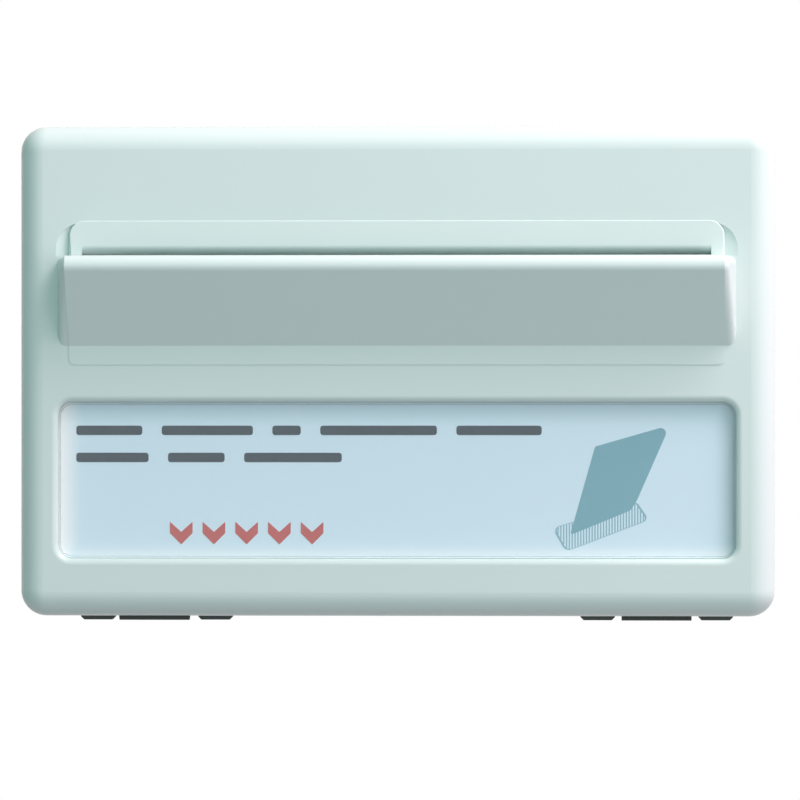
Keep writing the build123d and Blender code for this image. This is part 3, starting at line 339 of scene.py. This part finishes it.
def metal(name, colour, roughness, grain, stretch, depth):
    """Metal strip or wire: rolling marks are a noise drawn out along one axis by the stretch."""
    darkest, brightest = 0.88, 1.06
    dull_share = 0.3
    material, tree = new_material(name)
    place = add_node(tree, "ShaderNodeTexCoord").outputs["Object"]
    drawn = add_node(tree, "ShaderNodeMapping", {"Vector": place, "Scale": stretch})
    marks = add_node(
        tree,
        "ShaderNodeTexNoise",
        {"Vector": drawn.outputs["Vector"], "Scale": 1 / grain, "Detail": 4.0},
    )
    tone = add_node(
        tree,
        "ShaderNodeMix",
        {
            MIX_FACTOR: marks.outputs["Fac"],
            MIX_FIRST: shaded(colour, darkest),
            MIX_SECOND: shaded(colour, brightest),
        },
        data_type="RGBA",
    )
    dull = add_node(
        tree,
        "ShaderNodeMapRange",
        {
            "Value": marks.outputs["Fac"],
            "To Min": roughness * (1 - dull_share),
            "To Max": roughness * (1 + dull_share),
        },
    )
    dent = add_node(
        tree,
        "ShaderNodeBump",
        {"Height": marks.outputs["Fac"], "Distance": depth, "Strength": 1.0},
    )
    surface = add_node(
        tree,
        "ShaderNodeBsdfPrincipled",
        {
            "Base Color": tone.outputs[MIX_RESULT],
            "Metallic": 1.0,
            "Roughness": dull.outputs["Result"],
            "Normal": dent.outputs["Normal"],
        },
    )
    add_node(tree, "ShaderNodeOutputMaterial", {"Surface": surface.outputs["BSDF"]})
    return material


def clear_acrylic(name, colour):
    """Polished PMMA: clear, with the faint haze of handling that comes and goes over 12 mm."""
    haze_length = 12 * MM
    clearest, haziest = 0.015, 0.06
    material, tree = new_material(name)
    place = add_node(tree, "ShaderNodeTexCoord").outputs["Object"]
    haze = add_node(
        tree, "ShaderNodeTexNoise", {"Vector": place, "Scale": 1 / haze_length, "Detail": 3.0}
    )
    dull = add_node(
        tree,
        "ShaderNodeMapRange",
        {"Value": haze.outputs["Fac"], "To Min": clearest, "To Max": haziest},
    )
    surface = add_node(
        tree,
        "ShaderNodeBsdfPrincipled",
        {
            "Base Color": (*colour, 1.0),
            "Roughness": dull.outputs["Result"],
            "IOR": 1.49,
            "Transmission Weight": 1.0,
        },
    )
    add_node(tree, "ShaderNodeOutputMaterial", {"Surface": surface.outputs["BSDF"]})
    return material


def printed_card(name, colour, low, high):
    """Coated card with a screened tint.

    Painted shade deepens the tint along the upper and right edges, where the recess shades the
    card, and painted light makes it paler along the lower and left ones.
    """
    # Widths and strengths of the painted shade along the top and right edges and of the painted
    # light along the foot and left edges
    painted_shade_top, painted_shade_right = 3.4 * MM, 3.6 * MM
    painted_light_foot, painted_light_left = 2.6 * MM, 4.0 * MM
    shade_top_share, light_foot_share = 0.3, 0.5
    painted_shade_tone = 0.74
    mottle_length, mottle_tone = 0.5 * MM, 0.97
    material, tree = new_material(name)
    place = add_node(tree, "ShaderNodeTexCoord").outputs["Object"]
    across_up = add_node(tree, "ShaderNodeSeparateXYZ", {"Vector": place}).outputs

    def near(edge, inset, axis, most=1.0):
        """Share that rises from 0 at an inset to its most at an edge of the card."""
        rise = add_node(
            tree,
            "ShaderNodeMapRange",
            {"Value": across_up[axis], "From Min": edge + inset, "From Max": edge, "To Max": most},
            interpolation_type="SMOOTHSTEP",
        )
        return rise.outputs["Result"]

    # Painted shade: share that darkens the card towards its upper and right edges
    painted_shade_share = add_node(
        tree,
        "ShaderNodeMath",
        {0: near(high.z, -painted_shade_top, "Z", shade_top_share), 1: near(high.x, -painted_shade_right, "X")},
        operation="MAXIMUM",
    )
    # Painted light: share that lightens the card towards its lower and left edges
    painted_light_share = add_node(
        tree,
        "ShaderNodeMath",
        {0: near(low.z, painted_light_foot, "Z", light_foot_share), 1: near(low.x, painted_light_left, "X")},
        operation="MAXIMUM",
    )
    # The card's tint, darkened by the painted shade
    tint = add_node(
        tree,
        "ShaderNodeMix",
        {
            MIX_FACTOR: painted_shade_share.outputs[0],
            MIX_FIRST: shaded(colour, 1.0),
            MIX_SECOND: shaded(colour, painted_shade_tone),
        },
        data_type="RGBA",
    )
    # then lightened towards white by the painted light
    tint_with_painted_light = add_node(
        tree,
        "ShaderNodeMix",
        {MIX_FACTOR: painted_light_share.outputs[0], MIX_FIRST: tint.outputs[MIX_RESULT], MIX_SECOND: WHITE},
        data_type="RGBA",
    )
    mottle = add_node(
        tree, "ShaderNodeTexNoise", {"Vector": place, "Scale": 1 / mottle_length, "Detail": 2.0}
    )
    paper = add_node(
        tree,
        "ShaderNodeMix",
        {
            MIX_FACTOR: mottle.outputs["Fac"],
            MIX_FIRST: shaded(WHITE[:3], mottle_tone),
            MIX_SECOND: WHITE,
        },
        data_type="RGBA",
    )
    tone = add_node(
        tree,
        "ShaderNodeMix",
        {
            MIX_FACTOR: 1.0,
            MIX_FIRST: tint_with_painted_light.outputs[MIX_RESULT],
            MIX_SECOND: paper.outputs[MIX_RESULT],
        },
        data_type="RGBA",
        blend_type="MULTIPLY",
    )
    surface = add_node(
        tree,
        "ShaderNodeBsdfPrincipled",
        {"Base Color": tone.outputs[MIX_RESULT], "Roughness": 0.45, "IOR": 1.5},
    )
    add_node(tree, "ShaderNodeOutputMaterial", {"Surface": surface.outputs["BSDF"]})
    return material


def ink(name, colour):
    """Screen ink on coated card: its cover thins and thickens over 0.4 mm."""
    cover_length = 0.4 * MM
    thin, thick = 0.88, 1.1
    material, tree = new_material(name)
    place = add_node(tree, "ShaderNodeTexCoord").outputs["Object"]
    cover = add_node(
        tree, "ShaderNodeTexNoise", {"Vector": place, "Scale": 1 / cover_length, "Detail": 2.0}
    )
    tone = add_node(
        tree,
        "ShaderNodeMix",
        {
            MIX_FACTOR: cover.outputs["Fac"],
            MIX_FIRST: shaded(colour, thin),
            MIX_SECOND: shaded(colour, thick),
        },
        data_type="RGBA",
    )
    surface = add_node(
        tree,
        "ShaderNodeBsdfPrincipled",
        {"Base Color": tone.outputs[MIX_RESULT], "Roughness": 0.4, "IOR": 1.5},
    )
    add_node(tree, "ShaderNodeOutputMaterial", {"Surface": surface.outputs["BSDF"]})
    return material


def slot_materials(colours):
    """One material for each slot of the record that CAD nodes keep."""
    # ABS from a polished mould: high gloss with a slight orange peel
    gloss = {"roughness": 0.24, "grain": 1.6 * MM, "depth": 0.0012 * MM, "cloud": 0.01}
    # Polypropylene: satin, a little waxy
    satin = {"roughness": 0.42, "grain": 0.5 * MM, "depth": 0.002 * MM}
    # Glass-filled nylon: fine spark-eroded matt
    matt = {"grain": 0.25 * MM, "depth": 0.004 * MM}
    # Acetal: smooth and slightly milky
    milky = {"roughness": 0.34, "grain": 0.8 * MM, "depth": 0.001 * MM}
    # Zinc plate over pressed steel: bright with a soft grain
    plated = {"roughness": 0.3, "grain": 0.5 * MM, "stretch": (1, 1, 1)}
    # Rolled spring strip and drawn wire
    rolled = {"roughness": 0.26, "grain": 0.4 * MM, "stretch": (1, 1, 0.08)}
    # Stamped sheet brass with rolling marks
    stamped = {"roughness": 0.28, "grain": 0.4 * MM, "stretch": (1, 1, 0.1)}
    # Coined silver faces
    coined = {"roughness": 0.22, "grain": 0.3 * MM, "stretch": (1, 1, 1)}
    return {
        "cover_plastic": plastic("abs_moulded_glossy", colours.cover, **gloss),
        # The card material carries painted shade along its upper and right edges and painted light
        # along its lower and left ones
        "printed_card": printed_card("card_printed_painted_shade", colours.card, *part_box("label_card")),
        "pocket_plastic": plastic("polypropylene_moulded", colours.pocket, **satin),
        "frame_plastic": plastic("nylon_filled_grey", colours.frame, roughness=0.5, **matt),
        "case_plastic": plastic("nylon_filled_black", colours.case, roughness=0.45, **matt),
        "lever_plastic": plastic("acetal_natural", colours.lever, **milky),
        "plunger_plastic": plastic("acetal_orange", colours.plunger, **milky),
        "zinc_steel": metal("steel_zinc_plated", colours.steel, depth=METAL_DENT, **plated),
        "spring_steel": metal("steel_spring_rolled", colours.spring, depth=METAL_DENT, **rolled),
        "brass": metal("brass_stamped", colours.brass, depth=METAL_DENT, **stamped),
        "silver": metal("silver_coined", colours.silver, depth=METAL_DENT, **coined),
    }


# Label print, laid out on the card: places are across and up from the middle of the card


def word_bars(size):
    """Two rows of plain bars, like words in a layout."""
    row_places = (7.9 * MM, 3.6 * MM)
    row_lengths = ((10.5, 14.5, 4.5, 18.5, 13.5), (11.5, 9.0, 15.5))
    gap = 3.1 * MM
    start = -50.9 * MM
    corner_share = 0.3
    height, segments = size.bar_height, size.corner_segments
    corner = height * corner_share
    outlines = []
    for up, lengths in zip(row_places, row_lengths):
        across = start
        for length in np.array(lengths) * MM:
            centre = (across + length / 2, up)
            outlines.append(rounded_outline(length, height, corner, segments, centre))
            across += length + gap
    return outlines


def arrow_marks():
    """Row of arrowheads that point down, each a triangle with its foot cut by a notch."""
    width, height, pitch, count = 3.6 * MM, 3.6 * MM, 5.2 * MM, 5
    first, foot = -34.2 * MM, -10.2 * MM
    shape = np.array([(-0.5, 1.0), (0.0, 0.55), (0.5, 1.0), (0.5, 0.5), (0.0, 0.0), (-0.5, 0.5)])
    return [shape * (width, height) + (first + pitch * number, foot) for number in range(count)]


def card_picture(size):
    """Outline of the pictured card, which leans and dips into the slot."""
    corners = [(31.45, 5.35), (43.3, 8.75), (38.05, -3.2), (37.05, -4.75), (27.5, -8.65)]
    radii = [0.45, 0.85, 1.2, 1.2, 0.25]
    return rounded_polygon(np.array(corners) * MM, np.array(radii) * MM, size.corner_segments)


def slot_picture(size):
    """Pictured slot: a slanted round-ended ring, crossed by upright strokes cut to its inside."""
    line = 0.2 * MM
    inner_share = 0.955
    corners = np.array([(24.7, -7.55), (38.1, -3.5), (40.0, -6.25), (26.8, -11.3)]) * MM
    radii = np.array([0.9, 0.5, 0.8, 1.1]) * MM
    outer = rounded_polygon(corners, radii, size.corner_segments)
    middle = outer.mean(axis=0)
    inner_corners = middle + (corners - middle) * inner_share
    inner = rounded_polygon(inner_corners, radii - line, size.corner_segments)
    after = np.roll(inner, -1, axis=0)
    strokes = []
    first, last = inner[:, 0].min() + line, inner[:, 0].max() - line
    for across in np.arange(first, last, size.hatch_pitch):
        crossed = (inner[:, 0] - across) * (after[:, 0] - across) < 0
        share = (across - inner[crossed, 0]) / (after[crossed, 0] - inner[crossed, 0])
        ends = inner[crossed, 1] + share * (after[crossed, 1] - inner[crossed, 1])
        left, right = across - line / 2, across + line / 2
        foot, top = ends.min(), ends.max()
        strokes.append(np.array([(left, foot), (right, foot), (right, top), (left, top)]))
    return outer, inner, strokes


# Operators


class KEYCARD_OT_window(Operator):
    """Make the dished clear window over the label"""

    bl_idname = "keycard.window"
    bl_label = "Label Window"
    bl_options = {"REGISTER", "UNDO"}

    def execute(self, context):
        size = context.scene.key_card_sizes
        low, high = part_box("label_window")
        width, height = high.x - low.x, high.z - low.z
        centre = ((low.x + high.x) / 2, (low.z + high.z) / 2)
        front, back = -low.y, -high.y + size.window_gap
        corner, least_corner = 2.1 * MM, 0.5 * MM
        soft = 0.12 * MM
        arc_points = 12
        turn = np.linspace(0, pi / 2, arc_points)
        # Each step is an inset from the outline and a depth: wall, soft edge, flat rim, then a
        # hollow quarter ellipse as wide and as deep as the cove
        insets = np.concatenate(
            [[0.0], soft * (1 - np.cos(turn)), size.rim + size.cove_width * (1 - np.cos(turn))]
        )
        depths = np.concatenate(
            [[back], front - soft * (1 - np.sin(turn)), front - size.cove_depth * np.sin(turn)]
        )
        rings = []
        for inset, depth in zip(insets, depths):
            outline = rounded_outline(
                width - 2 * inset,
                height - 2 * inset,
                max(corner - inset, least_corner),
                size.corner_segments,
                centre,
            )
            rings.append(placed(outline, depth))
        name = "label_window_dished"
        window = new_object(name, ringed_mesh(name, [np.stack(rings)]))
        material = clear_acrylic("acrylic_polished", context.scene.key_card_colours.window)
        dress(window, material, "cover", "clear_acrylic", "label_window")
        # Light passes the clear piece straight, so the card behind it is lit as if it lay open
        window.visible_shadow = False
        window.visible_diffuse = False
        return {"FINISHED"}


class KEYCARD_OT_print(Operator):
    """Print the label card: rows of bars, a row of arrowheads and a picture of a card in a slot"""

    bl_idname = "keycard.print"
    bl_label = "Label Print"
    bl_options = {"REGISTER", "UNDO"}

    def execute(self, context):
        size, colours = context.scene.key_card_sizes, context.scene.key_card_colours
        low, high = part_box("label_card")
        middle = np.array([(low.x + high.x) / 2, (low.z + high.z) / 2])
        # Ink starts inside the card; picture, ring and strokes overlap, so their fronts differ
        sunk = -low.y - size.ink / 3
        front = -low.y + size.ink
        slot_front = -low.y + size.ink / 2
        hatch_front = slot_front - size.ink / 8
        outer, inner, strokes = slot_picture(size)
        bars = [prism(bar + middle, sunk, front) for bar in word_bars(size)]
        arrows = [prism(mark + middle, sunk, front) for mark in arrow_marks()]
        picture = [prism(card_picture(size) + middle, sunk, front)]
        ring = band(outer + middle, inner + middle, sunk, slot_front)
        hatch = [prism(stroke + middle, sunk, hatch_front) for stroke in strokes]
        layers = (
            ("label_bars", bars, "slate", colours.text),
            ("label_arrows", arrows, "red", colours.mark),
            ("label_card_picture", picture, "teal", colours.picture),
            ("label_slot_picture", [ring, *hatch], "pale_teal", colours.hatch),
        )
        for name, solids, tone, colour in layers:
            piece = new_object(name, ringed_mesh(name, solids))
            dress(piece, ink(f"ink_{tone}", colour), "cover", "printed_card")
        return {"FINISHED"}


class KEYCARD_OT_finishes(Operator):
    """Give every node of the model its finish"""

    bl_idname = "keycard.finishes"
    bl_label = "Finishes"
    bl_options = {"REGISTER", "UNDO"}

    def execute(self, context):
        colours = context.scene.key_card_colours
        materials = slot_materials(colours)
        # Blued strip of the latch springs: dark and dull, where the other springs are bright
        blued = metal(
            "steel_strip_blued",
            colours.strip,
            roughness=0.5,
            grain=0.4 * MM,
            stretch=(1, 1, 0.08),
            depth=METAL_DENT,
        )
        strips = {"latch_spring_left": blued, "latch_spring_right": blued}
        for subpart in frame["record"]["subparts"]:
            name = subpart["node"]
            if name != "label_window":
                material = strips.get(name, materials[subpart["material_slot"]])
                for material_slot in frame["nodes"][name].material_slots:
                    material_slot.material = material
        return {"FINISHED"}


class KEYCARD_OT_stage(Operator):
    """Add the floor, the white surroundings, the soft light and the camera"""

    bl_idname = "keycard.stage"
    bl_label = "Stage"
    bl_options = {"REGISTER", "UNDO"}

    def execute(self, context):
        size, colours = context.scene.key_card_sizes, context.scene.key_card_colours
        stage_floor(colours.floor)
        stage_world()
        stage_lights(size.light_distance)
        stage_camera(size.camera_distance)
        context.scene.view_settings.view_transform = "Standard"
        return {"FINISHED"}


def seen_as_background(tree):
    """Share that is 1 where the camera, a reflection or a clear piece sees the surroundings."""
    path = add_node(tree, "ShaderNodeLightPath").outputs
    near = add_node(
        tree,
        "ShaderNodeMath",
        {0: path["Is Camera Ray"], 1: path["Is Glossy Ray"]},
        operation="MAXIMUM",
    )
    both = add_node(
        tree,
        "ShaderNodeMath",
        {0: near.outputs[0], 1: path["Is Transmission Ray"]},
        operation="MAXIMUM",
    )
    return both.outputs[0]


def stage_floor(colour):
    """Pale square floor well below the object, which glows evenly where it is looked at."""
    half, drop = 0.62, 0.12
    glow_level, faint_level = 0.75, 0.3
    signs = np.array([(-1.0, -1.0), (1.0, -1.0), (1.0, 1.0), (-1.0, 1.0)])
    corners = np.insert(half * signs, 2, -drop, axis=1)
    mesh = bpy.data.meshes.new("floor")
    mesh.from_pydata(corners.tolist(), [], [(0, 1, 2, 3)])
    material, tree = new_material("floor_pale")
    plain = add_node(tree, "ShaderNodeBsdfDiffuse", {"Color": shaded(colour, 1.0)})
    glow = add_node(tree, "ShaderNodeEmission", {"Color": WHITE, "Strength": glow_level})
    faint = add_node(tree, "ShaderNodeBsdfDiffuse", {"Color": shaded(colour, faint_level)})
    lit = add_node(tree, "ShaderNodeAddShader", {0: glow.outputs[0], 1: faint.outputs[0]})
    mixed = add_node(
        tree,
        "ShaderNodeMixShader",
        {0: seen_as_background(tree), 1: plain.outputs[0], 2: lit.outputs[0]},
    )
    add_node(tree, "ShaderNodeOutputMaterial", {"Surface": mixed.outputs[0]})
    mesh.materials.append(material)
    floor = bpy.data.objects.new("floor", mesh)
    bpy.context.scene.collection.objects.link(floor)


def stage_world():
    """White where it is looked at; as light it comes mostly from the right and from the front."""
    even_colour, even_level = (0.02, 1.00, 0.74, 1.0), 0.05
    right_colour, right_level = (1.00, 0.69, 0.83, 1.0), 1.53
    # The front faces the lower end of the Y axis
    front_colour, front_level = (0.64, 1.00, 0.98, 1.0), -0.81
    world = bpy.data.worlds.new("studio")
    world.use_nodes = True
    tree = world.node_tree
    tree.nodes.clear()
    towards = add_node(tree, "ShaderNodeTexCoord").outputs["Generated"]
    parts = add_node(tree, "ShaderNodeSeparateXYZ", {"Vector": towards}).outputs

    def brighter_towards(axis, level, colour):
        """Light that falls off with the cosine; a negative level takes the axis's lower end."""
        share = add_node(
            tree, "ShaderNodeMath", {0: parts[axis], 1: level}, operation="MULTIPLY"
        ).outputs[0]
        lit = add_node(tree, "ShaderNodeMath", {0: share, 1: 0.0}, operation="MAXIMUM").outputs[0]
        light = add_node(tree, "ShaderNodeBackground", {"Color": colour, "Strength": lit})
        return light.outputs[0]

    even = add_node(
        tree, "ShaderNodeBackground", {"Color": even_colour, "Strength": even_level}
    )
    right = brighter_towards("X", right_level, right_colour)
    front = brighter_towards("Y", front_level, front_colour)
    sides = add_node(tree, "ShaderNodeAddShader", {0: right, 1: front})
    light = add_node(tree, "ShaderNodeAddShader", {0: even.outputs[0], 1: sides.outputs[0]})
    white = add_node(tree, "ShaderNodeBackground", {"Color": WHITE, "Strength": 1.0})
    mixed = add_node(
        tree,
        "ShaderNodeMixShader",
        {0: seen_as_background(tree), 1: light.outputs[0], 2: white.outputs[0]},
    )
    add_node(tree, "ShaderNodeOutputWorld", {"Surface": mixed.outputs[0]})
    bpy.context.scene.world = world


def stage_lights(distance):
    """One soft box above and to the right, as in the photograph."""
    azimuth, elevation = radians(60), radians(55)
    box_side, box_level = 0.3, 1.08
    level_share = cos(elevation)
    towards = Vector((sin(azimuth) * level_share, -cos(azimuth) * level_share, sin(elevation)))
    target = Vector((0, -FACE_DEPTH, 0))
    data = bpy.data.lights.new("soft_box", "AREA")
    data.shape = "SQUARE"
    data.size = box_side
    data.color = (1.00, 0.83, 0.85)
    # A diffuse surface that faces the lamp gets its colour at the stated level
    data.energy = box_level * pi * pi * distance * distance
    lamp = bpy.data.objects.new("soft_box", data)
    lamp.location = target + towards * distance
    lamp.rotation_euler = towards.to_track_quat("Z", "Y").to_euler()
    bpy.context.scene.collection.objects.link(lamp)


def stage_camera(distance):
    """Camera in front of the plate, a little to the right.

    The plate's face fills as much of the picture as it does in the photograph.
    """
    millimetres_per_pixel = 0.15815
    plate_middle_pixel = (398, 371)
    photo_middle_pixel = PHOTO_WIDTH / 2
    # At this turn, half of the face depth shifts the outline's middle by 1.7, rounded up here
    turned_pixels = 2
    azimuth = radians(2.6)
    pixel = millimetres_per_pixel * MM
    target = Vector(
        (
            (photo_middle_pixel - plate_middle_pixel[0] + turned_pixels) * pixel,
            -FACE_DEPTH,
            (plate_middle_pixel[1] - photo_middle_pixel) * pixel,
        )
    )
    data = bpy.data.cameras.new("camera")
    data.sensor_fit = "HORIZONTAL"
    data.lens = data.sensor_width * distance / (PHOTO_WIDTH * pixel)
    data.clip_start = 10 * MM
    camera = bpy.data.objects.new("camera", data)
    away = Vector((sin(azimuth), -cos(azimuth), 0))
    camera.location = target + away * distance
    camera.rotation_euler = away.to_track_quat("Z", "Y").to_euler()
    bpy.context.scene.collection.objects.link(camera)
    bpy.context.scene.camera = camera


STEP_OPERATORS = (KEYCARD_OT_window, KEYCARD_OT_print, KEYCARD_OT_finishes, KEYCARD_OT_stage)


class KEYCARD_PT_panel(Panel):
    """Steps and settings of the key card switch"""

    bl_idname = "KEYCARD_PT_panel"
    bl_label = "Key Card Switch"
    bl_space_type = "VIEW_3D"
    bl_region_type = "UI"
    bl_category = "Key Card Switch"

    def draw(self, context):
        for operator in STEP_OPERATORS:
            self.layout.operator(operator.bl_idname)
        for group in (context.scene.key_card_sizes, context.scene.key_card_colours):
            for name in group.bl_rna.properties.keys():
                if name not in {"rna_type", "name"}:
                    self.layout.prop(group, name)


CLASSES = (KeyCardColours, KeyCardSizes, *STEP_OPERATORS, KEYCARD_PT_panel)


def register():
    for item in CLASSES:
        bpy.utils.register_class(item)
    bpy.types.Scene.key_card_colours = PointerProperty(type=KeyCardColours)
    bpy.types.Scene.key_card_sizes = PointerProperty(type=KeyCardSizes)


def unregister():
    del bpy.types.Scene.key_card_sizes
    del bpy.types.Scene.key_card_colours
    for item in reversed(CLASSES):
        bpy.utils.unregister_class(item)


def main():
    register()
    bpy.ops.keycard.window()
    bpy.ops.keycard.print()
    bpy.ops.keycard.finishes()
    bpy.ops.keycard.stage()


if __name__ == "__main__":
    main()
